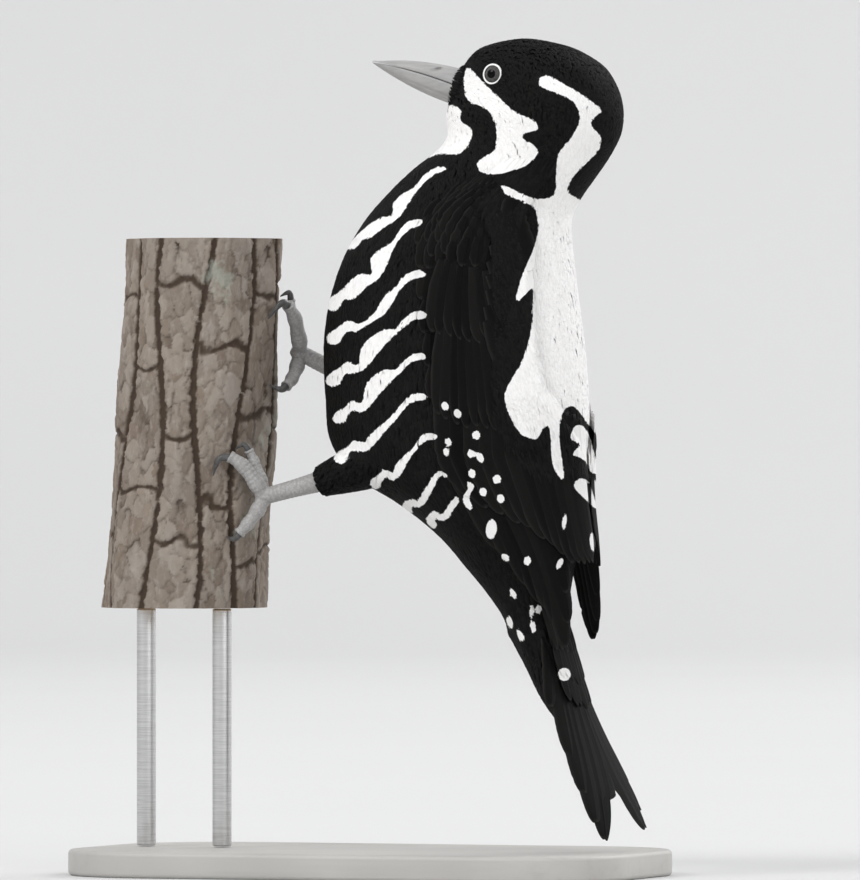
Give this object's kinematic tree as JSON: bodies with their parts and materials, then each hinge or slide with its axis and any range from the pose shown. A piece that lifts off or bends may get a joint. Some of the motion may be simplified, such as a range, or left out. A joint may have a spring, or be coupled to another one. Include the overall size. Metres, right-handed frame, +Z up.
{
  "type": "three-toed woodpecker, life-size still model on a stand",
  "caption": "Black and white three-toed woodpecker clinging to a short upright length of trunk, on two rods over a flat rounded base.",
  "frame": {"origin": "centre of the underside of the stand's base", "axes": "+Z up, -X the way the bird faces, -Y the bird's left side"},
  "size_m": [0.158, 0.092, 0.2253],
  "materials": {
    "plumage": "feathers, black with white markings",
    "bill": "smooth grey horn",
    "foot": "grey scaled skin",
    "claw": "dark grey horn",
    "eye": "glossy, dark grey iris and black pupil",
    "bark": "rough bark with pale sawn ends",
    "stand": "pale matt paint",
    "steel": "satin"
  },
  "bodies": {
    "root": {"head": "plumage", "neck": "plumage", "torso": "plumage", "tail": "plumage", "wing_left": "plumage", "wing_right": "plumage", "thigh_left": "plumage", "thigh_right": "plumage", "bill_upper": "bill", "bill_lower": "bill", "eye_left": "eye", "eye_right": "eye", "foot_left": "foot", "foot_right": "foot", "claw_left_1": "claw", "claw_left_2": "claw", "claw_left_3": "claw", "claw_right_1": "claw", "claw_right_2": "claw", "claw_right_3": "claw", "perch": "bark", "stand_base": "stand", "stand_rod_front": "steel", "stand_rod_back": "steel"}
  },
  "joints": []
}
